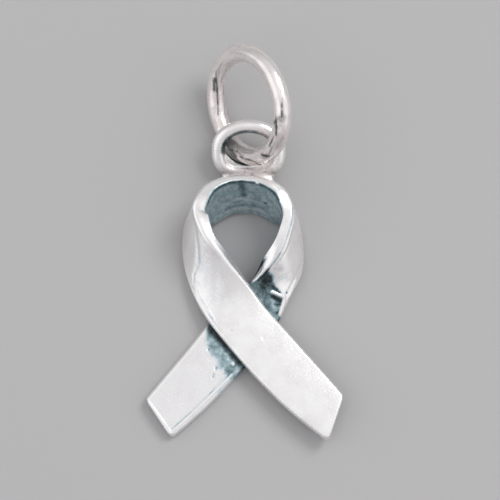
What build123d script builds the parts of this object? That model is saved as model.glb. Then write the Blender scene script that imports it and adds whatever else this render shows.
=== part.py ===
from build123d import *
from math import cos, sin, radians
import os

# Looped ribbon charm, lying on its back, with an eye at its top and a jump ring through the eye.
# Millimetres. +Z is away from the surface it lies on and +Y runs from the legs towards the ring.

# Strip that the ribbon is bent from
strip_width = 2.5
strip_thick = 0.55
edge_bevel = 0.12
face_crown = 0.05

# Loop, measured from the middle of the crossing
loop_half_width = 2.5
loop_height = 7.2
loop_depth = 2.45

# Legs: the front one lies over the rear one and is fused to it
rear_leg_heading = 50.4
rear_leg_length = 5.15
rear_leg_slant = 16.0
front_leg_heading = 311.5
front_leg_length = 5.9
front_leg_slant = 25.5
front_leg_rise = 0.06
leg_weld = 0.06
rear_leg_ground = 0.03

# Jump ring of round wire, leaning with its low side on the surface
ring_inside = 4.34
ring_wire = 0.90
ring_lean = 55.1
ring_heading = 19.6
thread_angle = 224.0

# Eye of round wire on the loop's top, oval, its free side up
eye_wire = 0.65
eye_play = 0.345
eye_side_play = 0.745
eye_rise = 26.7
eye_set = 1.06
eye_side_shift = 0.28
thread_side_share = -0.28
thread_low_share = -0.26

# Neck that joins the eye to the loop
neck_half_width = 1.3
neck_waist = 0.14
neck_seat = 0.75
neck_height = 0.8

# Sections of the loop, from the rear leg up the right side and down the left side.
# front_x is a share of loop_half_width and front_y of loop_height: where the front edge runs.
# front_z and back_z are shares of loop_depth: the heights of the two edges.
# reach is a share of strip_width: how far the back edge stands outside the front edge.
# heading is the way the strip runs, in degrees from +X.
LOOP_COLUMNS = ("front_x", "front_y", "front_z", "back_z", "reach", "heading")
DIVE_ROW = (-0.100, 0.178, 0.34, 0.29, 1.01, 44.6)
LOOP_ROWS = (
    (0.260, 0.285, 0.52, 0.27, 0.82, 43.5),
    (0.490, 0.355, 0.74, 0.23, 0.68, 46.0),
    (0.680, 0.419, 0.87, 0.18, 0.55, 54.0),
    (0.840, 0.504, 0.94, 0.12, 0.40, 67.0),
    (0.952, 0.607, 0.98, 0.06, 0.22, 84.0),
    (0.992, 0.710, 1.00, 0.02, 0.06, 102.0),
    (0.920, 0.808, 0.98, 0.00, -0.17, 124.0),
    (0.660, 0.925, 0.92, 0.00, -0.45, 146.0),
    (0.040, 1.000, 0.86, 0.00, -0.56, 180.0),
    (-0.600, 0.939, 0.92, 0.00, -0.47, 214.0),
    (-0.900, 0.836, 0.98, 0.00, -0.20, 235.0),
    (-1.000, 0.738, 1.00, 0.02, 0.07, 258.0),
    (-0.940, 0.642, 0.98, 0.06, 0.24, 277.0),
    (-0.772, 0.539, 0.95, 0.11, 0.45, 290.0),
    (-0.520, 0.444, 0.88, 0.17, 0.69, 299.0),
    (-0.200, 0.340, 0.72, 0.24, 0.92, 306.8),
    (0.140, 0.222, 0.54, 0.37, 1.05, 308.8),
)

# Sections of the legs. along is a share of the leg's length from where it starts.
# Each leg's last row lies past its end and is cut off there.
LEG_COLUMNS = ("along", "reach", "heading")
FRONT_LEG_ROWS = (
    (0.00, 1.065, 310.4),
    (0.22, 1.080, 311.5),
    (0.71, 1.040, 311.5),
    (1.34, 0.870, 311.5),
)
REAR_LEG_ROWS = (
    (0.00, 1.120, 50.4),
    (1.39, 0.863, 50.4),
)

# Where each leg's front edge starts, as shares of loop_half_width and loop_height
FRONT_LEG_START = (0.454, 0.083)
REAR_LEG_START = (-0.64, 0.0)

# Worked-out places. The rear leg's back is ground flat on the surface that the charm lies on.
rear_leg_top = strip_thick - rear_leg_ground
front_leg_top = rear_leg_top + strip_thick - leg_weld
ring_radius = (ring_inside + ring_wire) / 2
eye_hole_x = ring_wire / 2 + eye_side_play
eye_hole_y = ring_wire / 2 + eye_play
eye_centreline_x = eye_hole_x + eye_wire / 2
eye_centreline_y = eye_hole_y + eye_wire / 2


def level(heading):
    """Level unit vector that points along a heading."""
    return Vector(cos(radians(heading)), sin(radians(heading)), 0)


def strip_section(front, reach, drop, heading):
    """Strip's section, with its front edge at a point and its back edge out and down."""
    across = level(heading - 90) * reach - Vector(0, 0, drop)
    width = across.length
    with BuildSketch(Plane(origin=front, x_dir=across, z_dir=level(heading))) as section:
        with BuildLine():
            Polyline(
                (width - edge_bevel, 0),
                (width, edge_bevel),
                (width, strip_thick),
                (0, strip_thick),
                (0, edge_bevel),
                (edge_bevel, 0),
            )
            ThreePointArc((edge_bevel, 0), (width / 2, -face_crown), (width - edge_bevel, 0))
        make_face()
    return section.sketch


def loop_section(row):
    """Strip's section for one row of the loop's table."""
    cell = dict(zip(LOOP_COLUMNS, row))
    front = Vector(
        cell["front_x"] * loop_half_width,
        cell["front_y"] * loop_height,
        cell["front_z"] * loop_depth,
    )
    drop = (cell["front_z"] - cell["back_z"]) * loop_depth
    return strip_section(front, cell["reach"] * strip_width, drop, cell["heading"])


def front_leg_section(row):
    """Strip's section for one row of the front leg's table."""
    cell = dict(zip(LEG_COLUMNS, row))
    point = front_leg_front(cell["along"] * front_leg_length)
    return strip_section(point, cell["reach"] * strip_width, 0, cell["heading"])


def rear_leg_section(row):
    """Strip's section for one row of the rear leg's table."""
    cell = dict(zip(LEG_COLUMNS, row))
    point = rear_leg_front(cell["along"] * rear_leg_length)
    return strip_section(point, cell["reach"] * strip_width, 0, cell["heading"])


def leg_start(shares, height):
    """Point where a leg's front edge starts, at a height."""
    return Vector(shares[0] * loop_half_width, shares[1] * loop_height, height)


def front_leg_front(distance):
    """Point of the front leg's front edge at a distance from its start."""
    climb = front_leg_rise * distance / front_leg_length
    return leg_start(FRONT_LEG_START, front_leg_top + climb) + level(front_leg_heading) * distance


def rear_leg_front(distance):
    """Point of the rear leg's front edge at a distance from its start."""
    return leg_start(REAR_LEG_START, rear_leg_top) - level(rear_leg_heading) * distance


def end_plane(corner, heading, slant):
    """Upright plane through a leg's corner, turned from square by a slant and facing out."""
    return Plane(origin=corner, x_dir=(0, 0, 1), z_dir=level(heading + slant))


# Eye and ring: the ring's wire passes the eye's plane at the thread point, low side on the surface
ring_across = level(ring_heading + 90)
ring_rise = level(ring_heading) * cos(radians(ring_lean)) + Vector(0, 0, sin(radians(ring_lean)))
ring_normal = level(ring_heading) * sin(radians(ring_lean)) - Vector(0, 0, cos(radians(ring_lean)))
thread_way = ring_across * cos(radians(thread_angle)) + ring_rise * sin(radians(thread_angle))
ring_height = ring_radius * sin(radians(ring_lean)) + ring_wire / 2
thread_height = ring_height + ring_radius * thread_way.Z

eye_up = Vector(0, cos(radians(eye_rise)), sin(radians(eye_rise)))
thread_drop = eye_up * (thread_low_share * eye_hole_y)
eye_low_y = loop_height + eye_set - eye_wire
eye_centre = Vector(
    eye_side_shift,
    eye_low_y + eye_centreline_y * eye_up.Y,
    thread_height - thread_drop.Z,
)
thread_point = eye_centre + thread_drop + Vector(thread_side_share * eye_hole_x, 0, 0)
ring_centre = thread_point - thread_way * ring_radius
eye_low = eye_centre - eye_up * eye_centreline_y

# Ribbon: rear leg, loop, front leg, neck and eye in one casting
loop_sections = [loop_section(row) for row in LOOP_ROWS]
rear_leg_sections = [rear_leg_section(row) for row in REAR_LEG_ROWS]
dive_sections = [rear_leg_sections[0], loop_section(DIVE_ROW), loop_sections[0]]
rear_leg_corner = rear_leg_front(rear_leg_length)
rear_leg_cut = end_plane(rear_leg_corner, rear_leg_heading + 180, -rear_leg_slant)

front_leg_sections = [front_leg_section(row) for row in FRONT_LEG_ROWS]
front_leg_corner = front_leg_front(front_leg_length)
front_leg_cut = end_plane(front_leg_corner, front_leg_heading, front_leg_slant)

with BuildPart() as rear_leg:
    loft(rear_leg_sections)
    split(bisect_by=rear_leg_cut, keep=Keep.BOTTOM)
    loft(dive_sections)
    split(bisect_by=Plane.XY, keep=Keep.TOP)

with BuildPart() as front_leg:
    loft(front_leg_sections[1:])
    split(bisect_by=front_leg_cut, keep=Keep.BOTTOM)

with BuildPart() as eye:
    with BuildLine(Plane(origin=eye_centre, x_dir=(1, 0, 0), z_dir=Vector(1, 0, 0).cross(eye_up))):
        for start in (0, 180):
            EllipticalCenterArc((0, 0), eye_centreline_x, eye_centreline_y, start_angle=start, arc_size=180)
    with BuildSketch(Plane(origin=eye_centre + Vector(eye_centreline_x, 0, 0), z_dir=eye_up)):
        Circle(eye_wire / 2)
    sweep()

with BuildPart() as neck:
    seat_y = loop_height - neck_seat
    tip_y = eye_low.Y
    middle_y = (seat_y + tip_y) / 2
    left_x = eye_low.X - neck_half_width
    right_x = eye_low.X + neck_half_width
    with BuildSketch(Plane.XY.offset(eye_low.Z - eye_wire / 2)):
        with BuildLine():
            Line((left_x, seat_y), (right_x, seat_y))
            ThreePointArc((right_x, seat_y), (right_x - neck_waist, middle_y), (right_x, tip_y))
            Line((right_x, tip_y), (left_x, tip_y))
            ThreePointArc((left_x, tip_y), (left_x + neck_waist, middle_y), (left_x, seat_y))
        make_face()
    extrude(amount=neck_height)

with BuildPart() as casting:
    loft(loop_sections + front_leg_sections[:2])
    add(rear_leg.part)
    add(front_leg.part)
    add(neck.part)
    add(eye.part)

with BuildPart() as ring_in_eye:
    with Locations(Plane(origin=ring_centre, z_dir=ring_normal)):
        Torus(major_radius=ring_radius, minor_radius=ring_wire / 2)

# The part's origin is on the surface, under the middle of the whole charm
whole = Compound([casting.part, ring_in_eye.part]).bounding_box()
to_origin = Location((-whole.center().X, -whole.center().Y, 0))

with BuildPart() as ribbon:
    add(casting.part.moved(to_origin))

with BuildPart() as jump_ring:
    add(ring_in_eye.part.moved(to_origin))

os.makedirs("parts", exist_ok=True)
ribbon.part.label = "ribbon"
export_step(ribbon.part, "parts/ribbon.step")
jump_ring.part.label = "jump_ring"
export_step(jump_ring.part, "parts/jump_ring.step")
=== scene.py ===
from math import cos, radians, sin, tau

import bpy
import numpy as np
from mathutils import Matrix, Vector, noise


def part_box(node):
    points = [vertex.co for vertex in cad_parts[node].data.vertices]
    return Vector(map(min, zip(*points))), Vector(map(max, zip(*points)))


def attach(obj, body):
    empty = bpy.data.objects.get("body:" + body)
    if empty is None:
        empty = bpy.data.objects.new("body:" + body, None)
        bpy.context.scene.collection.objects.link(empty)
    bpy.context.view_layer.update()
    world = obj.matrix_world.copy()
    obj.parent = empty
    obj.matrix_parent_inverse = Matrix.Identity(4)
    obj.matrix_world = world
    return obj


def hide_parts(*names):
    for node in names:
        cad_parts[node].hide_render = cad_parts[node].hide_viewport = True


# Looped ribbon charm with an eye and a jump ring, lying on a pale floor.
# Shapes are worked out in millimetres from the middle of the legs' crossing, with +Y towards the
# ring and +Z up, and are moved into the frame, in metres, when a piece is made.

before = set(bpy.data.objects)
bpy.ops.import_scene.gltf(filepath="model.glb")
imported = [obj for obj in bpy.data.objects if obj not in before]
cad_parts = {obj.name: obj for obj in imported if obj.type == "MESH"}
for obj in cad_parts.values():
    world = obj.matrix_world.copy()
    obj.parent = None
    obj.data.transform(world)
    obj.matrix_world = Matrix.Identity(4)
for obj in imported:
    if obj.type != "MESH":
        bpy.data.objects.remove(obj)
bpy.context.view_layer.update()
MM = 0.001

# Jump ring: its centre, its wire and how it leans
RING_CENTRE = (0.294, 10.551, 2.599)
RING_INSIDE = 4.34
RING_WIRE = 0.90
RING_LEAN = radians(55.1)
RING_HEADING = radians(19.6)

# Eye on the loop's top: its centre, half sizes of its centreline, wire and rise
EYE_CENTRE = (0.28, 8.56, 1.17)
EYE_HALF_X = 1.51
EYE_HALF_Y = 1.20
EYE_WIRE = 0.70
EYE_RISE = radians(26.7)
EYE_SQUARE_TOP = 2.1
EYE_SQUARE_LOW = 2.9

# Solder that fills the foot of the eye's hole, clear of the ring: its upper edge, in millimetres from
# the eye's centre, and its half thickness
FILLET_EDGE = (
    (-1.42, 0.10), (-1.22, -0.06), (-1.06, -0.31), (-0.90, -0.44), (-0.75, -0.55),
    (-0.60, -0.63), (-0.45, -0.69), (-0.30, -0.72), (-0.15, -0.72), (0.00, -0.68),
    (0.15, -0.60), (0.35, -0.46), (0.60, -0.30), (1.10, -0.05), (1.36, 0.08),
)
FILLET_HALF = 0.17

# Layers of the solder, as a share of its half thickness and of its outline, and the outline's middle
FILLET_LAYERS = ((-1, 0.94), (-0.6, 0.98), (0, 1), (0.6, 0.98), (1, 0.94))
FILLET_MIDDLE = (0, -0.9)

# Neck of solder between the loop and the eye. Its foot lies in the loop's sloping wall: it starts at
# NECK_FROM_Y on the floor and further up the higher it is, and spreads by NECK_SPREAD.
NECK_HALF_X = 1.34
NECK_FROM_Y = 5.70
NECK_SLOPE = 0.60
NECK_BOW = 0.12
NECK_TO_Y = 7.6
NECK_LOW = 0.34
NECK_HIGH = 0.98
NECK_SPREAD = 0.36
NECK_SQUARE = 2.6

# How many stations and sides the wires and the neck have, and how eye, solder and neck are melted
RING_STATIONS = 400
RING_SIDES = 72
EYE_STATIONS = 144
EYE_SIDES = 24
NECK_STATIONS = 17
NECK_SIDES = 64
MELT_VOXEL = 0.030
MELT_ROUNDS = 24

# Strip: thickness, bevel of its outer corners, rounding of its inner corners and of its ends
STRIP_THICK = 0.55
BEVEL_WIDE = 0.19
BEVEL_DEEP = 0.24
INNER_ROUND = 0.10
END_ROUND = 0.09
CORNER_ROUND = 0.26
FACE_CROWN = 0.04
STATION_STEP = 0.055
END_ANGLES = (20, 45, 70)

# Thickness at places along the strip: thinner over the loop's top, thicker at its shoulders
THICKNESS = (
    (11.5, 0.55), (12.6, 0.63), (13.5, 0.75), (14.4, 0.60), (15.2, 0.46), (16.3, 0.46),
    (17.1, 0.62), (18.0, 0.84), (18.9, 0.84), (19.7, 0.70), (20.7, 0.55),
)

# Points round the strip's outline: on its face, its inner side, each bevel, rounding and wall
FACE_POINTS = 40
INNER_POINTS = 30
BEVEL_POINTS = 9
ROUND_POINTS = 5
WALL_POINTS = 4

# Fold: how far it is rounded, in radians, and how close it comes to an edge, as a share of the
# width. Reach in millimetres of the inner side's overhang from the front edge.
FOLD_TURN = 1.35
FOLD_EDGE = 0.02
LIP_REACH = 0.5

# Rungs of the strip from the rear leg's end round the loop to the front leg's end: x, y and z of
# the outer face's front edge and back edge, then where a fold crosses the face, as a share of its
# width, how far the fold stands out, and how far the inner side's front edge stands past the face's
RUNGS = (
    (-4.883, -3.968, 0.550, -3.570, -5.950, 0.550, 0.5, 0, 0),
    (-3.900, -2.780, 0.550, -1.910, -4.480, 0.550, 0.5, 0, 0),
    (-2.750, -1.390, 0.550, -0.660, -3.180, 0.550, 0.5, 0, 0),
    (-1.600, 0.000, 0.550, 0.530, -1.820, 0.550, 0.5, 0, 0),
    (-0.250, 1.282, 0.800, 1.520, -0.520, 0.640, 0.5, 0, 0),
    (0.650, 2.052, 1.274, 2.100, 0.520, 0.662, 0.5, 0, 0.06),
    (1.225, 2.556, 1.813, 2.530, 1.340, 0.564, 0.5, 0, 0.2),
    (1.700, 3.017, 2.131, 2.950, 2.160, 0.441, 0.5, 0.03, 0.26),
    (2.090, 3.629, 2.303, 3.120, 3.210, 0.294, 0.5, 0.05, 0.22),
    (2.380, 4.370, 2.401, 3.020, 4.260, 0.147, 0.5, 0.05, 0.12),
    (2.560, 5.150, 2.450, 2.790, 5.080, 0.049, 0.5, 0.02, 0.03),
    (2.390, 5.940, 2.401, 2.230, 5.360, 0.000, 0.5, 0, 0),
    (1.720, 6.740, 2.254, 1.180, 5.740, 0.000, 0.5, 0, -0.03),
    (0.100, 7.160, 2.107, 0.100, 5.840, 0.000, 0.5, 0, -0.05),
    (-1.580, 6.840, 2.254, -1.010, 5.770, 0.000, 0.5, 0, -0.03),
    (-2.320, 6.100, 2.401, -2.110, 5.460, 0.000, 0.5, 0, 0),
    (-2.520, 5.380, 2.450, -2.800, 5.220, 0.049, 0.02, 0, 0.03),
    (-2.320, 4.680, 2.401, -3.060, 4.560, 0.147, 0.08, 0.03, 0.06),
    (-1.890, 3.930, 2.328, -3.110, 3.480, 0.269, 0.33, 0.08, 0.08),
    (-1.270, 3.220, 2.156, -2.930, 2.330, 0.417, 0.7, 0.07, 0.08),
    (-0.500, 2.448, 1.764, -2.450, 1.030, 0.588, 0.93, 0.03, 0.05),
    (0.350, 1.598, 1.323, -1.780, -0.080, 0.907, 1, 0, 0),
    (1.135, 0.598, 1.060, -0.913, -1.148, 1.040, 1, 0, 0),
    (1.995, -0.375, 1.053, -0.047, -2.184, 1.053, 1, 0, 0),
    (3.000, -1.510, 1.070, 0.980, -3.330, 1.070, 1, 0, 0),
    (4.020, -2.670, 1.085, 2.430, -4.740, 1.085, 1, 0, 0),
    (5.030, -3.840, 1.100, 4.230, -6.190, 1.100, 1, 0, 0),
)


def unit(a):
    """Rows of an array, each scaled to length one."""
    return a / np.linalg.norm(a, axis=-1, keepdims=True)


def spline(knots, values, at):
    """Natural cubic spline through rows of values at rising knots."""
    h = np.diff(knots)
    n = len(knots)
    system = np.eye(n)
    right = np.zeros_like(values)
    slopes = np.diff(values, axis=0) / h[:, None]
    for i in range(1, n - 1):
        system[i, i - 1:i + 2] = h[i - 1], 2 * (h[i - 1] + h[i]), h[i]
        right[i] = 6 * (slopes[i] - slopes[i - 1])
    curve = np.linalg.solve(system, right)
    k = np.clip(np.searchsorted(knots, at) - 1, 0, n - 2)
    a = ((knots[k + 1] - at) / h[k])[:, None]
    b = 1 - a
    bend = ((a**3 - a) * curve[k] + (b**3 - b) * curve[k + 1]) * (h[k] ** 2)[:, None] / 6
    return a * values[k] + b * values[k + 1] + bend


def smooth_step(low, high, x):
    """0 below low and 1 above high, smooth between."""
    t = np.clip((x - low) / (high - low), 0, 1)
    return t * t * (3 - 2 * t)


def arc(centre, radii, start, stop, count):
    """Points of an elliptical arc, angles in degrees, without its last point."""
    t = np.radians(np.linspace(start, stop, count, endpoint=False))
    return np.stack([centre[0] + radii[0] * np.cos(t), centre[1] + radii[1] * np.sin(t)], 1)


def run(start, stop, count):
    """Evenly spaced points of a line without its last point."""
    t = np.linspace(0, 1, count, endpoint=False)[:, None]
    return np.array(start) * (1 - t) + np.array(stop) * t


def strip_outline(width, thick, fold, fold_rise, lip):
    """Closed outline of the strip: x from its front edge to its back edge, y inwards from its face."""
    b, d, r = BEVEL_WIDE, BEVEL_DEEP, INNER_ROUND
    face = run((b, 0), (width - b, 0), FACE_POINTS)
    share = (face[:, 0] - b) / (width - 2 * b)
    crown = 4 * share * (1 - share)
    roof = np.minimum(share / max(fold, FOLD_EDGE), (1 - share) / max(1 - fold, FOLD_EDGE))
    bend = np.sin(np.clip(roof, 0, 1) * FOLD_TURN)
    face[:, 1] -= FACE_CROWN * crown + fold_rise * bend / np.sin(FOLD_TURN)
    outline = np.concatenate([
        face,
        arc((width - b, d), (b, d), -90, 0, BEVEL_POINTS),
        run((width, d), (width, thick - r), WALL_POINTS),
        arc((width - r, thick - r), (r, r), 0, 90, ROUND_POINTS),
        run((width - r, thick), (r, thick), INNER_POINTS),
        arc((r, thick - r), (r, r), 90, 180, ROUND_POINTS),
        run((0, thick - r), (0, d), WALL_POINTS),
        arc((b, d), (b, d), 180, 270, BEVEL_POINTS),
    ])
    depth = np.clip(outline[:, 1] / thick, 0, 1)
    outline[:, 0] -= lip * depth * np.clip(1 - outline[:, 0] / LIP_REACH, 0, 1)
    return outline


def shrunk(outline, amount):
    """Closed outline moved inwards along its own normals."""
    along = np.roll(outline, -1, 0) - np.roll(outline, 1, 0)
    return outline + amount * unit(np.stack([-along[:, 1], along[:, 0]], 1))


def set_back(share):
    """How far a quarter round of radius one stands back, at a share of its length."""
    return 1 - np.sqrt(np.clip(1 - np.clip(1 - share, 0, 1) ** 2, 0, 1))


def swept_strip():
    """Rings of points of the strip, and each point's place and the way into the strip there.

    A place is along, across and into the strip, as if it were STRIP_THICK thick throughout.
    """
    rungs = np.array(RUNGS)
    middle = (rungs[:, :3] + rungs[:, 3:6]) / 2
    knots = np.concatenate([[0], np.cumsum(np.linalg.norm(np.diff(middle, axis=0), axis=1))])
    at = np.linspace(0, knots[-1], int(knots[-1] / STATION_STEP))
    end = END_ROUND * (1 - np.cos(np.radians(END_ANGLES)))
    at = np.sort(np.concatenate([at, end, knots[-1] - end]))
    rows = spline(knots, rungs, at)
    front, back = rows[:, :3], rows[:, 3:6]
    across = unit(back - front)
    along = unit(np.gradient((front + back) / 2, at, axis=0))
    inward = unit(np.cross(along, across))
    widths = np.linalg.norm(back - front, axis=1)
    thick = np.interp(at, *np.transpose(THICKNESS))
    to_end = np.minimum(at, at[-1] - at) / END_ROUND
    tuck = END_ROUND * set_back(to_end)
    narrow = CORNER_ROUND * set_back(to_end * END_ROUND / CORNER_ROUND)
    rings, places, insides = [], [], []
    for i in range(len(at)):
        fold, rise, lip = np.clip(rows[i, 6], 0, 1), max(rows[i, 7], 0), rows[i, 8]
        flat = shrunk(strip_outline(widths[i] - 2 * narrow[i], thick[i], fold, rise, lip), tuck[i])
        flat[:, 0] += narrow[i]
        rings.append(front[i] + flat[:, :1] * across[i] + flat[:, 1:] * inward[i])
        evened = flat * (1, STRIP_THICK / thick[i])
        places.append(np.column_stack([np.full(len(flat), at[i]), evened]))
        insides.append(np.repeat(inward[i][None], len(flat), 0))
    return rings, np.concatenate(places), np.concatenate(insides)


def oval(half_x, half_y, square_top, square_low, count):
    """Points of an oval, anticlockwise; 2 is an ellipse and a higher square is boxier."""
    t = np.linspace(0, tau, count, endpoint=False)
    power = 2 / np.where(np.sin(t) > 0, square_top, square_low)
    x = half_x * np.sign(np.cos(t)) * np.abs(np.cos(t)) ** power
    y = half_y * np.sign(np.sin(t)) * np.abs(np.sin(t)) ** power
    return np.stack([x, y], 1)


def tube_rings(centre, across, up, path, wire, sides):
    """Rings round a wire that runs along a closed flat path."""
    normal = np.cross(across, up)
    points = centre + path[:, :1] * across + path[:, 1:] * up
    ways = unit(np.roll(points, -1, 0) - np.roll(points, 1, 0))
    turn = np.linspace(0, tau, sides, endpoint=False)[:, None]
    return [
        point + wire / 2 * (np.cos(turn) * np.cross(way, normal) + np.sin(turn) * normal)
        for point, way in zip(points, ways)
    ]


def skin(rings, closed):
    """Vertices and faces over rings of equal size, capped at both ends unless closed."""
    size = len(rings[0])
    verts = np.concatenate(rings)
    faces = []
    for i in range(len(rings) if closed else len(rings) - 1):
        a, b = i * size, (i + 1) % len(rings) * size
        faces += [(a + j, a + (j + 1) % size, b + (j + 1) % size, b + j) for j in range(size)]
    if not closed:
        faces += [tuple(reversed(range(size))), tuple(range(len(verts) - size, len(verts)))]
    return verts, faces


def mesh_of(name, parts):
    """Mesh in millimetres made of several skins."""
    verts, faces, count = [], [], 0
    for part_verts, part_faces in parts:
        verts.append(part_verts)
        faces += [tuple(i + count for i in face) for face in part_faces]
        count += len(part_verts)
    mesh = bpy.data.meshes.new(name)
    mesh.from_pydata(np.concatenate(verts).tolist(), [], faces)
    mesh.validate()
    return mesh


def linked(name, mesh):
    """Object of a mesh, in the scene."""
    made = bpy.data.objects.new(name, mesh)
    bpy.context.collection.objects.link(made)
    return made


def coordinates(mesh):
    """Vertex positions of a mesh as an array."""
    flat = np.empty(len(mesh.vertices) * 3)
    mesh.vertices.foreach_get("co", flat)
    return flat.reshape(-1, 3)


def normals(mesh):
    """Vertex normals of a mesh as an array."""
    flat = np.empty(len(mesh.vertices) * 3)
    mesh.vertices.foreach_get("normal", flat)
    return flat.reshape(-1, 3)


def move_to(mesh, points):
    """Puts a mesh's vertices at new positions."""
    mesh.vertices.foreach_set("co", np.ascontiguousarray(points, float).ravel())
    mesh.update()


def paint(mesh, name, values):
    """Stores a number or a vector for each vertex."""
    values = np.asarray(values, float)
    kind, key = ("FLOAT", "value") if values.ndim == 1 else ("FLOAT_VECTOR", "vector")
    layer = mesh.attributes.new(name, kind, "POINT")
    layer.data.foreach_set(key, np.ascontiguousarray(values, np.float32).ravel())


def waves(points, size, seed):
    """Smooth noise between -1 and 1 at each point, with bumps of about a size in millimetres."""
    offset = Vector((seed, seed * 1.7, seed * 0.3))
    return np.array([noise.noise(Vector(p) / size + offset) for p in points])


def swell(points, layers):
    """Sum of noises, each given by its height, the size of its bumps and its seed."""
    return sum(height * waves(points, size, seed) for height, size, seed in layers)


def fused(name, parts, voxel, rounds):
    """Mesh of several skins melted into one closed skin, its joints filled a little."""
    rough = linked(name, mesh_of(name, parts))
    remesh = rough.modifiers.new("remesh", "REMESH")
    remesh.mode = "VOXEL"
    remesh.voxel_size = voxel
    smooth = rough.modifiers.new("smooth", "SMOOTH")
    smooth.factor = 0.5
    smooth.iterations = rounds
    made = bpy.data.meshes.new_from_object(rough.evaluated_get(bpy.context.evaluated_depsgraph_get()))
    bpy.data.objects.remove(rough)
    return made


def dress(name, mesh, node, material):
    """Finished piece: the mesh moved into the frame, with its slot and material, hung on the root body; the
    CAD node it stands for is hidden.
    """
    move_to(mesh, (coordinates(mesh) + TO_FRAME) * MM)
    mesh.shade_smooth()
    mesh.materials.clear()
    mesh.materials.append(material)
    made = linked(name, mesh)
    if node:
        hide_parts(node)
    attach(made, "root")
    return made


# Camera: 80 degrees above the horizon, long lens
VIEW_WIDTH = 0.025
VIEW_DISTANCE = 0.4
VIEW_RISE = radians(80)
VIEW_CENTRE = Vector((0.000269, -0.000016, 0))
camera_data = bpy.data.cameras.new("camera")
camera_data.sensor_width = 36
camera_data.lens = camera_data.sensor_width * VIEW_DISTANCE / VIEW_WIDTH
camera_data.clip_start = 0.01
camera_data.clip_end = 10
camera = bpy.data.objects.new("camera", camera_data)
bpy.context.collection.objects.link(camera)
camera.location = VIEW_CENTRE + VIEW_DISTANCE * Vector((0, -cos(VIEW_RISE), sin(VIEW_RISE)))
camera.rotation_euler = (VIEW_CENTRE - camera.location).to_track_quat("-Z", "Y").to_euler()
bpy.context.scene.camera = camera

ring_low, ring_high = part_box("jump_ring")
TO_FRAME = np.array((ring_low + ring_high) / 2 / MM) - np.array(RING_CENTRE)
TO_FRAME[2] = 0

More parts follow.
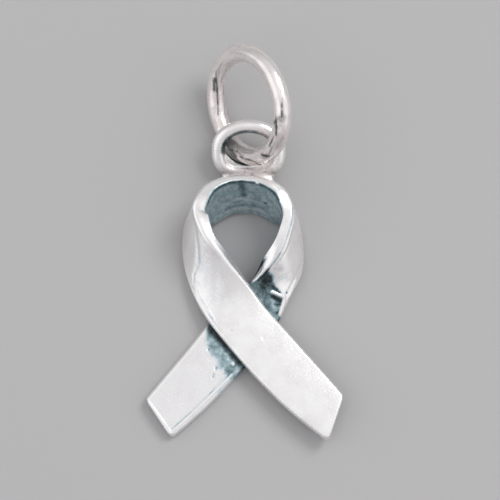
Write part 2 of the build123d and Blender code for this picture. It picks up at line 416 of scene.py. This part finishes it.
# Marks on the strip's outer face: start and end in millimetres along and across the strip, then
# the mark's half width, how deep it goes and how much darker it is. Less than 0 stands out or shines.
OUTER_MARKS_AND_SHADE = (
    (8.55, 1.09, 8.84, 1.79, 0.048, -0.08, -2.2),
    (8.80, 1.84, 8.10, 2.17, 0.075, -0.05, -2.2),
    (8.38, 1.28, 8.52, 1.72, 0.090, 0.05, 0.50),
    (8.20, 1.62, 8.42, 1.84, 0.060, 0.02, 0.30),
    (8.66, 0.40, 8.98, 0.62, 0.300, 0.03, 0.42),
    (8.76, 0.80, 8.80, 1.40, 0.090, 0.01, 0.25),
    (9.04, 1.78, 9.08, 1.78, 0.060, 0.03, 0.80),
    (9.10, 1.79, 9.71, 1.74, 0.040, 0.02, 0.38),
    (9.71, 1.74, 11.23, 1.84, 0.040, 0.01, 0.20),
    (9.10, 2.03, 9.81, 1.94, 0.060, -0.02, -0.40),
    (9.42, 0.45, 9.44, 0.46, 0.070, 0.02, 0.32),
    (9.20, 0.95, 9.56, 1.25, 0.220, 0.01, 0.23),
    (9.46, 0.62, 9.60, 0.80, 0.140, 0.01, 0.20),
    (9.30, 1.40, 9.60, 1.55, 0.120, 0.01, 0.14),
    (8.21, 1.40, 8.05, 1.86, 0.120, -0.02, -0.25),
    (7.99, 1.98, 8.00, 2.02, 0.070, 0.02, 0.40),
    (8.22, 0.03, 9.20, 0.05, 0.050, -0.05, -1.2),
    (8.40, 0.20, 9.30, 0.20, 0.045, 0.03, 0.70),
    (9.30, 0.19, 10.31, 0.12, 0.050, 0.03, 0.52),
    (10.31, 0.12, 12.88, 0.05, 0.050, 0.03, 0.40),
    (10.41, 0.26, 12.25, 0.20, 0.045, -0.03, 0.0),
    (9.91, 0.38, 11.63, 0.36, 0.040, 0.02, 0.26),
    (10.92, 0.42, 12.66, 0.40, 0.050, 0.01, 0.14),
    (3.86, 1.72, 3.74, 1.78, 0.040, 0.03, 0.42),
    (3.50, 1.84, 3.34, 1.92, 0.035, 0.03, 0.42),
    (4.30, 0.86, 4.26, 0.90, 0.045, 0.03, 0.45),
    (4.52, 2.24, 4.51, 2.28, 0.050, -0.03, -0.9),
    (4.00, 2.45, 3.10, 2.60, 0.220, 0.00, 0.14),
    (0.20, 2.06, 4.30, 2.50, 0.030, 0.012, 0.30),
    (0.30, 2.17, 4.05, 2.56, 0.045, -0.030, -0.50),
    (0.10, 0.15, 0.10, 2.20, 0.060, -0.020, -0.50),
    (0.10, 0.10, 4.90, 0.10, 0.060, -0.020, -0.40),
    (18.95, 0.16, 19.91, 0.36, 0.080, 0.02, 0.27),
    (19.91, 0.36, 20.64, 0.72, 0.085, 0.02, 0.29),
    (20.64, 0.72, 21.49, 1.37, 0.080, 0.03, 0.30),
    (21.49, 1.37, 21.77, 1.98, 0.060, 0.03, 0.30),
    (21.77, 1.98, 22.04, 2.19, 0.060, 0.02, 0.20),
    # Painted shade: these six broad soft marks darken the loop's twisted left face
    (21.63, 1.45, 22.18, 2.00, 0.260, 0.00, 0.21),
    (21.33, 1.00, 23.04, 1.60, 0.900, 0.00, 0.20),
    (21.66, 1.24, 21.83, 1.62, 0.160, 0.01, 0.13),
    (21.60, 0.26, 22.43, 0.90, 0.170, 0.01, 0.11),
    (22.43, 0.90, 23.43, 1.78, 0.170, 0.01, 0.11),
    (22.86, 0.95, 22.92, 1.00, 0.180, 0.00, 0.10),
    (22.43, 2.28, 24.05, 2.44, 0.035, 0.02, 0.34),
    (22.84, 2.42, 24.85, 2.54, 0.030, 0.02, 0.30),
    (23.59, 1.27, 23.61, 1.28, 0.070, -0.02, -0.2),
    (23.99, 1.11, 24.01, 1.12, 0.050, -0.02, -0.2),
    (24.26, 1.86, 24.27, 1.88, 0.060, -0.02, -0.2),
    (25.09, 2.04, 25.05, 2.14, 0.040, 0.03, 0.32),
    (23.64, 1.27, 23.66, 1.30, 0.080, 0.03, 0.0),
    (26.35, 1.10, 26.41, 1.14, 0.060, 0.02, 0.12),
)

# Marks on the inner face, in the same columns
INNER_MARKS_AND_SHADE = (
    # Painted shadow: a dark line along the inner face just under the rim
    (13.10, 0.14, 18.52, 0.14, 0.080, 0.00, 0.45),
    (15.86, 0.20, 15.80, 1.05, 0.180, 0.02, 0.28),
    (14.44, 1.30, 14.51, 1.34, 0.060, 0.05, 0.40),
    (14.31, 1.10, 14.67, 1.16, 0.060, -0.02, -0.14),
    (15.17, 0.12, 15.21, 0.12, 0.045, -0.02, -1.2),
    (17.25, 1.66, 15.91, 1.40, 0.045, -0.02, -0.14),
    (15.91, 1.40, 14.67, 1.52, 0.045, -0.02, -0.12),
    (17.04, 1.95, 14.50, 1.80, 0.080, 0.02, 0.16),
    (17.57, 2.15, 14.15, 2.05, 0.060, -0.02, -0.11),
)

# Patina where the legs cross: how far along the strip its edge lies, at places across the strip,
# on the rear leg, where the front leg covers it and shade is painted along it, and on the far side of the
# front leg
REAR_EDGE = (
    (0.04, 5.20), (0.16, 4.86), (0.43, 4.46), (0.79, 4.26),
    (1.39, 4.02), (1.93, 3.82), (2.34, 3.74), (2.72, 3.85),
)
CONTACT = ((0.0, 5.32), (2.8, 4.90))
FAR_EDGE = (
    (-0.3, 8.10), (0.08, 8.15), (0.15, 9.20), (0.5, 9.10), (0.85, 8.95),
    (1.15, 8.82), (1.75, 8.90), (2.0, 8.42), (2.2, 8.02),
)
LOOP_START = 8.20
LOOP_END = 23.44

# How dark the patina and the painted shade are: patina in the recess, and what is added there past the
# crossing's middle; painted shade where the front leg covers it; painted shade over the rear leg; patina on
# the inner face, and what the loop adds; and painted shadow with patina on the wall beside the gap where
# the rear leg dives
RECESS_TONE = 0.51
RECESS_FAR_TONE = 0.16
CONTACT_SHADE_TONE = 0.5
REAR_LEG_SHADE_TONE = 0.16
INNER_TONE = 0.19
LOOP_TONE = 0.23
GAP_SHADOW_AND_PATINA_TONE = 0.95

# Unevenness of the patina's edge and depth, of the polished strip and of the ring: for each layer its
# height, the size of its bumps in millimetres and its seed
RAGGED_EDGE = ((0.09, 0.40, 2.0), (0.07, 0.15, 7.0))
UNEVEN_DEPTH = ((0.12, 0.16, 3.0), (0.10, 0.32, 11.0))
STRIP_SWELL = ((0.010, 1.3, 4.0), (0.004, 0.45, 9.0))
RING_SWELL = ((0.007, 1.1, 3.0), (0.003, 0.35, 5.0))

# Marks on the ring, tarnish and painted dark reflections: millimetres along its middle line and round its
# wire, in the same columns
RING_MARKS_AND_REFLECTIONS = (
    (14.85, 1.88, 14.20, 1.80, 0.120, 0.010, 0.55),
    (16.05, 1.96, 15.52, 1.93, 0.050, 0.010, 0.35),
    (15.43, 2.00, 14.98, 1.84, 0.050, 0.010, 0.40),
    (14.98, 1.84, 14.47, 1.70, 0.055, 0.010, 0.60),
    (14.47, 1.70, 13.90, 1.63, 0.055, 0.015, 0.68),
    (13.90, 1.63, 13.31, 1.63, 0.050, 0.015, 0.58),
    (13.31, 1.63, 12.74, 1.72, 0.045, 0.010, 0.42),
    (14.50, 1.30, 13.51, 1.20, 0.045, 0.010, 0.34),
    (13.51, 1.20, 12.62, 1.34, 0.045, 0.010, 0.30),
    (14.91, 1.51, 12.85, 1.48, 0.060, -0.015, 0.00),
    (12.10, 1.95, 13.20, 1.90, 0.050, 0.010, 0.28),
    (14.30, 1.62, 15.60, 1.88, 0.070, 0.005, 0.16),
    (0.60, 2.20, 3.40, 2.20, 0.090, 0.005, 0.16),
    (4.76, 2.62, 4.96, 2.54, 0.050, 0.010, 0.35),
    (4.96, 2.54, 5.28, 2.50, 0.060, 0.010, 0.46),
    (5.28, 2.50, 5.74, 2.47, 0.070, 0.010, 0.50),
    (5.94, 2.05, 5.65, 2.31, 0.170, 0.010, 0.42),
    (5.65, 2.31, 5.60, 2.57, 0.160, 0.010, 0.42),
    (5.78, 2.19, 6.13, 2.24, 0.070, 0.020, 0.80),
    (6.13, 2.24, 6.49, 2.31, 0.060, 0.020, 0.72),
    (6.04, 2.43, 6.24, 2.38, 0.060, -0.025, -0.40),
    (6.61, 2.62, 7.06, 2.66, 0.200, 0.005, 0.20),
    (6.60, 2.20, 7.20, 2.19, 0.050, 0.010, 0.50),
    (7.20, 2.19, 7.22, 2.21, 0.070, 0.015, 0.70),
    (7.20, 2.33, 7.70, 2.40, 0.050, 0.010, 0.40),
    (8.05, 2.19, 7.77, 2.46, 0.090, 0.010, 0.62),
    (8.12, 2.30, 7.92, 2.44, 0.140, 0.005, 0.30),
    (8.67, 2.45, 8.39, 2.62, 0.060, -0.025, -0.60),
    (9.83, 2.14, 9.08, 2.21, 0.050, 0.010, 0.60),
    (9.08, 2.21, 8.76, 2.40, 0.050, 0.010, 0.70),
    (8.76, 2.40, 8.71, 2.76, 0.060, 0.010, 0.80),
    (10.65, 1.88, 8.70, 1.90, 0.050, 0.010, 0.30),
    (10.52, 2.05, 10.15, 2.21, 0.120, 0.010, 0.60),
    (9.60, 2.10, 10.70, 1.75, 0.160, 0.010, 0.36),
)


def marks_at(places, marks):
    """Depth and tone that a table of marks adds at places along and across a piece."""
    deepest, highest, darkest, brightest = np.zeros((4, len(places)))
    for s0, u0, s1, u1, wide, deep, dark in marks:
        start, way = np.array((s0, u0)), np.array((s1 - s0, u1 - u0))
        share = np.clip((places[:, :2] - start) @ way / (way @ way), 0, 1)
        off = np.linalg.norm(places[:, :2] - start - share[:, None] * way, axis=1) / wide
        near = np.exp(-off**2)
        deepest, highest = np.maximum(deepest, deep * near), np.minimum(highest, deep * near)
        darkest, brightest = np.maximum(darkest, dark * near), np.minimum(brightest, dark * near)
    return deepest + highest, darkest + brightest


def edge_at(across, table):
    """Place along the strip of an edge that is given at places across it."""
    columns = np.array(table)
    return np.interp(across, columns[:, 0], columns[:, 1])


def strip_patina_and_shade(points, places, inner):
    """How dark each point of the strip is: in the crossing's recess and on the loop's inner face."""
    along, across, into = places.T
    ragged = swell(points, RAGGED_EDGE)
    rear = edge_at(across, REAR_EDGE) + ragged
    far = edge_at(across, FAR_EDGE) + ragged
    contact = edge_at(across, CONTACT)
    recess = smooth_step(rear - 0.30, rear + 0.38, along) * (1 - smooth_step(far - 0.14, far + 0.12, along))
    depth = RECESS_TONE + RECESS_FAR_TONE * smooth_step(6.8, 7.9, along)
    # Painted shade: a dark band along the front leg's edge where it covers the rear leg
    depth += CONTACT_SHADE_TONE * smooth_step(contact - 0.46, contact - 0.10, along) * (along < contact + 1)
    depth += swell(points, UNEVEN_DEPTH)
    loop = smooth_step(LOOP_START - 0.6, LOOP_START, along)
    loop *= 1 - smooth_step(LOOP_END, LOOP_END + 1.5, along)
    # Painted shade: the rear leg made darker than the front leg
    rear_leg_shade = REAR_LEG_SHADE_TONE * (1 - smooth_step(4.5, 6.0, along))
    # Painted shadow, with patina, on the wall beside the gap where the rear leg dives
    gap = smooth_step(8.0, 8.3, along) * (1 - smooth_step(9.1, 9.8, along))
    wall = smooth_step(0.22, 0.32, into) * (1 - smooth_step(0.12, 0.25, across))
    patina_and_painted_shade = np.maximum(recess * depth * (1 - inner), rear_leg_shade) + inner * (INNER_TONE + LOOP_TONE * loop)
    return np.maximum(patina_and_painted_shade, GAP_SHADOW_AND_PATINA_TONE * gap * wall)


def ribbon_mesh():
    """Strip with its marks, hand-polished waves, patina and painted shade."""
    rings, places, inward = swept_strip()
    points = np.concatenate(rings)
    outer = 1 - smooth_step(0.10, 0.30, places[:, 2])
    inner = smooth_step(0.45, 0.52, places[:, 2])
    outer_depth, outer_tone = marks_at(places, OUTER_MARKS_AND_SHADE)
    inner_depth, inner_tone = marks_at(places, INNER_MARKS_AND_SHADE)
    soft = swell(points, STRIP_SWELL)
    depth = outer * outer_depth - inner * inner_depth + soft * (outer - inner)
    moved = points + depth[:, None] * inward
    moved[:, 2] = np.maximum(moved[:, 2], 0)
    mesh = mesh_of("ribbon_strip", [skin(np.split(moved, len(rings)), False)])
    patina_and_painted_shade = strip_patina_and_shade(points, places, inner) + outer * outer_tone + inner * inner_tone
    paint(mesh, "patina_and_painted_shade", np.clip(patina_and_painted_shade, 0, 1))
    paint(mesh, "grain_mm", places)
    return mesh


def ring_mesh():
    """Jump ring of round wire, a little uneven, with its marks and its grain along the wire."""
    across = np.array((-sin(RING_HEADING), cos(RING_HEADING), 0))
    level = cos(RING_LEAN)
    up = np.array((cos(RING_HEADING) * level, sin(RING_HEADING) * level, sin(RING_LEAN)))
    radius = (RING_INSIDE + RING_WIRE) / 2
    path = oval(radius, radius, 2, 2, RING_STATIONS)
    rings = tube_rings(np.array(RING_CENTRE), across, up, path, RING_WIRE, RING_SIDES)
    mesh = mesh_of("jump_ring_wire", [skin(rings, True)])
    points = coordinates(mesh)
    along = np.repeat(np.arange(RING_STATIONS) / RING_STATIONS * tau * radius, RING_SIDES)
    around = np.tile(np.arange(RING_SIDES) / RING_SIDES * tau * RING_WIRE / 2, RING_STATIONS)
    places = np.column_stack([along, around, np.zeros(len(along))])
    # The marks' tone is tarnish together with painted dark reflections
    depth, tone = marks_at(places, RING_MARKS_AND_REFLECTIONS)
    moved = points + normals(mesh) * (swell(points, RING_SWELL) - depth)[:, None]
    moved[:, 2] = np.maximum(moved[:, 2], 0)
    move_to(mesh, moved)
    paint(mesh, "grain_mm", places)
    paint(mesh, "patina_and_painted_shade", np.clip(tone, 0, 1))
    return mesh


def fillet_skin(centre, side, up, path):
    """Skin of the solder in the foot of the eye's hole, down to the middle of the wire."""
    edge = np.array(FILLET_EDGE)
    foot = path[path[:, 1] < edge[-1, 1]]
    foot = foot[np.argsort(-foot[:, 0])]
    outline = np.concatenate([edge, foot])
    middle = np.array(FILLET_MIDDLE)
    facing = np.cross(side, up)
    rings = []
    for height, share in FILLET_LAYERS:
        flat = middle + (outline - middle) * share
        rings.append(centre + flat[:, :1] * side + flat[:, 1:] * up + height * FILLET_HALF * facing)
    return skin(rings, False)


def ring_gap(points):
    """Distance in millimetres from each point to the jump ring's wire."""
    steep = sin(RING_LEAN)
    normal = np.array((cos(RING_HEADING) * steep, sin(RING_HEADING) * steep, -cos(RING_LEAN)))
    out = points - np.array(RING_CENTRE)
    height = out @ normal
    radius = np.sqrt(np.maximum((out**2).sum(1) - height**2, 0))
    return np.hypot(radius - (RING_INSIDE + RING_WIRE) / 2, height) - RING_WIRE / 2


def neck_skin():
    """Skin of the neck, which spreads towards its foot in the loop's wall."""
    rings = []
    for share in np.linspace(0, 1, NECK_STATIONS):
        foot = (1 - share) ** 3
        low, high = NECK_LOW - 0.4 * NECK_SPREAD * foot, NECK_HIGH + NECK_SPREAD * foot
        half_x = NECK_HALF_X + 0.3 * NECK_SPREAD * foot
        section = oval(half_x, (high - low) / 2, NECK_SQUARE, NECK_SQUARE, NECK_SIDES)
        heights = (low + high) / 2 + section[:, 1]
        start = NECK_FROM_Y + NECK_SLOPE * heights - NECK_BOW * section[:, 0] ** 2
        along = start + share * (NECK_TO_Y - start)
        rings.append(np.column_stack([EYE_CENTRE[0] + section[:, 0], along, heights]))
    return skin(rings, False)


def eye_patina_and_shade(points, flat):
    """How dark each point of the eye and the neck is, flat being its place in the eye's plane."""
    share = np.linalg.norm(flat / (EYE_HALF_X, EYE_HALF_Y), axis=1)
    hole_side = smooth_step(0.99, 0.85, share) * (0.60 - 0.28 * flat[:, 0] / EYE_HALF_X)
    hole_side *= smooth_step(-0.45, 0.05, flat[:, 1])
    valley = 0.30 * (1 - smooth_step(0.12, 0.42, np.abs(points[:, 1] - 7.30)))
    flank = 0.32 * smooth_step(0.90, 1.45, points[:, 0]) * (1 - smooth_step(7.2, 7.6, points[:, 1]))
    # Painted shade: near black on the eye and its solder where the ring's wire passes close
    painted_gap_shade = 0.95 * (1 - smooth_step(0.10, 0.24, ring_gap(points)))
    streaks = 0.07 * smooth_step(-0.3, 0.9, np.sin(points[:, 1] * 34 + 2 * waves(points, 1.2, 8.0)))
    streaks *= (flat[:, 1] < -0.4) * (points[:, 1] > 7.5)
    patina_and_painted_shade = hole_side + np.maximum(valley, flank) + streaks + 0.08 * waves(points, 0.25, 6.0)
    return np.clip(np.maximum(patina_and_painted_shade, painted_gap_shade), 0, 1)


def eye_mesh():
    """Eye with the solder in its foot and the neck of solder under it, in one skin."""
    up = np.array((0, cos(EYE_RISE), sin(EYE_RISE)))
    side = np.array((1.0, 0, 0))
    centre = np.array(EYE_CENTRE)
    path = oval(EYE_HALF_X, EYE_HALF_Y, EYE_SQUARE_TOP, EYE_SQUARE_LOW, EYE_STATIONS)
    eye = skin(tube_rings(centre, side, up, path, EYE_WIRE, EYE_SIDES), True)
    skins = [eye, fillet_skin(centre, side, up, path), neck_skin()]
    mesh = fused("ribbon_eye", skins, MELT_VOXEL, MELT_ROUNDS)
    points = coordinates(mesh)
    paint(mesh, "grain_mm", points)
    paint(mesh, "patina_and_painted_shade", eye_patina_and_shade(points, (points - centre) @ np.stack([side, up], 1)))
    return mesh


def add_node(tree, kind, inputs=None, **settings):
    """Shader node with its settings, and its inputs set to values or linked to sockets."""
    made = tree.nodes.new(kind)
    for key, value in settings.items():
        setattr(made, key, value)
    for key, value in (inputs or {}).items():
        if isinstance(value, bpy.types.NodeSocket):
            tree.links.new(value, made.inputs[key])
        else:
            made.inputs[key].default_value = value
    return made


def mixed(tree, factor, first, second):
    """Colour mixed from two by a factor."""
    return add_node(tree, "ShaderNodeMix", {0: factor, 6: first, 7: second}, data_type="RGBA").outputs[2]


def ramp(tree, factor, low, high, to_low=0.0, to_high=1.0):
    """Number that goes from one value to another as a factor goes from low to high."""
    inputs = {"Value": factor, "From Min": low, "From Max": high, "To Min": to_low, "To Max": to_high}
    return add_node(tree, "ShaderNodeMapRange", inputs).outputs["Result"]


def maths(tree, operation, first, second):
    """Result of a sum on two numbers or sockets."""
    return add_node(tree, "ShaderNodeMath", {0: first, 1: second}, operation=operation).outputs[0]


def colours(tree, factor, stops):
    """Colour that runs through stops of a place and a colour."""
    made = add_node(tree, "ShaderNodeValToRGB", {"Fac": factor})
    elements = made.color_ramp.elements
    for place, colour in stops[1:-1]:
        elements.new(place).color = colour
    for element, (place, colour) in zip((elements[0], elements[-1]), (stops[0], stops[-1])):
        element.position, element.color = place, colour
    return made.outputs["Color"]


def noise_at(tree, place, scale, detail, rough):
    """Noise between 0 and 1, with bumps of one over scale, in the units of the place."""
    inputs = {"Vector": place, "Scale": scale, "Detail": detail, "Roughness": rough}
    return add_node(tree, "ShaderNodeTexNoise", inputs).outputs["Fac"]


# Noises of the silver: bumps per millimetre, detail and roughness; and how high its bumps are, in metres
GRAIN = (5, 6, 0.55)
CLOUD = (1.1, 6, 0.62)
BLOTCH = (3.2, 5, 0.6)
SPECK = (10, 4, 0.7)
BUMP_HEIGHT = 0.00003
MM_PER_METRE = 1000


def swing(tree, factor, strength):
    """Number that swings about nought with a noise."""
    return maths(tree, "MULTIPLY", maths(tree, "SUBTRACT", factor, 0.5), strength)


def silver_look(name, bright, dull, patina_and_shade_stops, stretch, streaks, spots):
    """Polished silver with fine grain along the metal, soft stains, and patina in the recesses.

    Stretch is how the grain is drawn out, streaks how dark its streaks are and spots how uneven
    the patina is. The patina_and_painted_shade attribute also carries painted shade and painted dark
    reflections.
    """
    material = bpy.data.materials.new(name)
    material.use_nodes = True
    tree = material.node_tree
    shader = tree.nodes["Principled BSDF"]
    place = add_node(tree, "ShaderNodeTexCoord").outputs["Object"]
    to_mm = (MM_PER_METRE, MM_PER_METRE, MM_PER_METRE)
    in_mm = add_node(tree, "ShaderNodeMapping", {"Vector": place, "Scale": to_mm}).outputs[0]
    grain_place = add_node(tree, "ShaderNodeAttribute", attribute_name="grain_mm").outputs["Vector"]
    grain_mm = add_node(tree, "ShaderNodeMapping", {"Vector": grain_place, "Scale": stretch}).outputs[0]
    patina_and_painted_shade = add_node(tree, "ShaderNodeAttribute", attribute_name="patina_and_painted_shade").outputs["Fac"]
    grain = noise_at(tree, grain_mm, *GRAIN)
    cloud = noise_at(tree, in_mm, *CLOUD)
    blotch = noise_at(tree, in_mm, *BLOTCH)
    speck = noise_at(tree, in_mm, *SPECK)

    presence = ramp(tree, patina_and_painted_shade, 0.14, 0.36)
    unrest = maths(tree, "ADD", swing(tree, speck, 0.6 * spots), swing(tree, blotch, 0.9 * spots))
    uneven = maths(tree, "ADD", patina_and_painted_shade, maths(tree, "MULTIPLY", unrest, presence))
    streaked = maths(tree, "MULTIPLY", ramp(tree, grain, 0.56, 0.74), streaks)
    tone = maths(tree, "ADD", uneven, streaked)
    metal = mixed(tree, ramp(tree, cloud, 0.38, 0.66), bright, dull)
    tarnish_and_shade_colour = colours(tree, tone, patina_and_shade_stops)
    cover = ramp(tree, tone, 0.02, 0.42)
    tree.links.new(mixed(tree, cover, metal, tarnish_and_shade_colour), shader.inputs["Base Color"])
    tree.links.new(ramp(tree, tone, 0.15, 0.6, 0.72, 0.45), shader.inputs["Metallic"])
    clouded = ramp(tree, cloud, 0.35, 0.7, 0.16, 0.26)
    brushed = ramp(tree, grain, 0.3, 0.7, 0.0, 0.07)
    dulled = ramp(tree, tone, 0.1, 0.7, 0.0, 0.25)
    polish = maths(tree, "ADD", clouded, brushed)
    tree.links.new(maths(tree, "ADD", polish, dulled), shader.inputs["Roughness"])
    scratched = {"Height": grain, "Strength": 0.12, "Distance": BUMP_HEIGHT}
    fine = add_node(tree, "ShaderNodeBump", scratched).outputs[0]
    pitted = {"Height": speck, "Strength": 0.3, "Distance": BUMP_HEIGHT, "Normal": fine}
    tree.links.new(add_node(tree, "ShaderNodeBump", pitted).outputs[0], shader.inputs["Normal"])
    return material


# Colours of the patina and of the painted shade, from thin to thick: blue-grey on the ribbon, warmer on
# solder and ring
RIBBON_PATINA_AND_SHADE = (
    (0.0, (0.78, 0.76, 0.77, 1)),
    (0.17, (0.70, 0.69, 0.705, 1)),
    (0.25, (0.56, 0.65, 0.68, 1)),
    (0.36, (0.45, 0.58, 0.62, 1)),
    (0.48, (0.33, 0.44, 0.47, 1)),
    (0.60, (0.18, 0.26, 0.28, 1)),
    (0.82, (0.06, 0.095, 0.105, 1)),
    (1.0, (0.010, 0.015, 0.017, 1)),
)
SOLDER_PATINA_AND_SHADE = (
    (0.0, (0.78, 0.70, 0.68, 1)),
    (0.30, (0.56, 0.50, 0.485, 1)),
    (0.60, (0.18, 0.24, 0.25, 1)),
    (0.82, (0.05, 0.07, 0.07, 1)),
    (1.0, (0.010, 0.012, 0.012, 1)),
)
RING_PATINA_AND_SHADE = (
    (0.0, (0.66, 0.60, 0.58, 1)),
    (0.30, (0.44, 0.39, 0.37, 1)),
    (0.55, (0.14, 0.155, 0.15, 1)),
    (0.8, (0.04, 0.05, 0.05, 1)),
    (1.0, (0.010, 0.012, 0.012, 1)),
)
ribbon_look = silver_look(
    "ribbon_silver_look", bright=(0.965, 0.955, 0.945, 1), dull=(0.87, 0.845, 0.84, 1),
    patina_and_shade_stops=RIBBON_PATINA_AND_SHADE, stretch=(0.5, 6, 1), streaks=0.05, spots=0.7,
)
solder_look = silver_look(
    "solder_silver_look", bright=(0.96, 0.94, 0.93, 1), dull=(0.89, 0.86, 0.85, 1),
    patina_and_shade_stops=SOLDER_PATINA_AND_SHADE, stretch=(1, 4, 4), streaks=0.12, spots=0.8,
)
ring_look = silver_look(
    "ring_silver_look", bright=(0.95, 0.905, 0.89, 1), dull=(0.86, 0.79, 0.765, 1),
    patina_and_shade_stops=RING_PATINA_AND_SHADE, stretch=(0.30, 5, 1), streaks=0.50, spots=1.0,
)

dress("ribbon_strip", ribbon_mesh(), "ribbon", ribbon_look)
dress("ribbon_eye", eye_mesh(), None, solder_look)
dress("jump_ring_wire", ring_mesh(), "jump_ring", ring_look)

# Floor
floor_mesh = bpy.data.meshes.new("floor")
floor_mesh.from_pydata([(-2, -2, 0), (2, -2, 0), (2, 2, 0), (-2, 2, 0)], [], [(0, 1, 2, 3)])
floor_look = bpy.data.materials.new("floor_look")
floor_look.use_nodes = True
floor_shader = floor_look.node_tree.nodes["Principled BSDF"]
floor_shader.inputs["Base Color"].default_value = (0.45, 0.445, 0.445, 1)
floor_shader.inputs["Roughness"].default_value = 0.7
floor_mesh.materials.append(floor_look)
linked("floor", floor_mesh)


def softbox(name, place, size, power):
    """Square area light that faces the charm."""
    data = bpy.data.lights.new(name, "AREA")
    data.size = size
    data.energy = power
    lamp = bpy.data.objects.new(name, data)
    bpy.context.collection.objects.link(lamp)
    lamp.location = place
    lamp.rotation_euler = (-Vector(place)).to_track_quat("-Z", "Y").to_euler()
    return lamp


softbox("top_light", (0.02, 0.09, 0.5), 0.45, 0.14)
softbox("key_light", (0.25, 0.20, 0.35), 0.20, 0.85)
softbox("left_card", (-0.45, -0.05, 0.22), 0.65, 0.75)
softbox("right_card", (0.45, -0.15, 0.20), 0.55, 0.40)

# Sky: bright overhead and darker near the horizon, so that polished edges show
world = bpy.data.worlds.new("studio")
world.use_nodes = True
sky = world.node_tree
way = add_node(sky, "ShaderNodeTexCoord").outputs["Generated"]
height = add_node(sky, "ShaderNodeSeparateXYZ", {0: way}).outputs["Z"]
glow = colours(sky, height, (
    (0.0, (0.10, 0.10, 0.11, 1)),
    (0.07, (0.14, 0.14, 0.15, 1)),
    (0.20, (0.52, 0.52, 0.54, 1)),
    (1.0, (0.65, 0.65, 0.665, 1)),
))
sky.links.new(glow, sky.nodes["Background"].inputs["Color"])
bpy.context.scene.world = world
bpy.context.scene.view_settings.view_transform = "Standard"
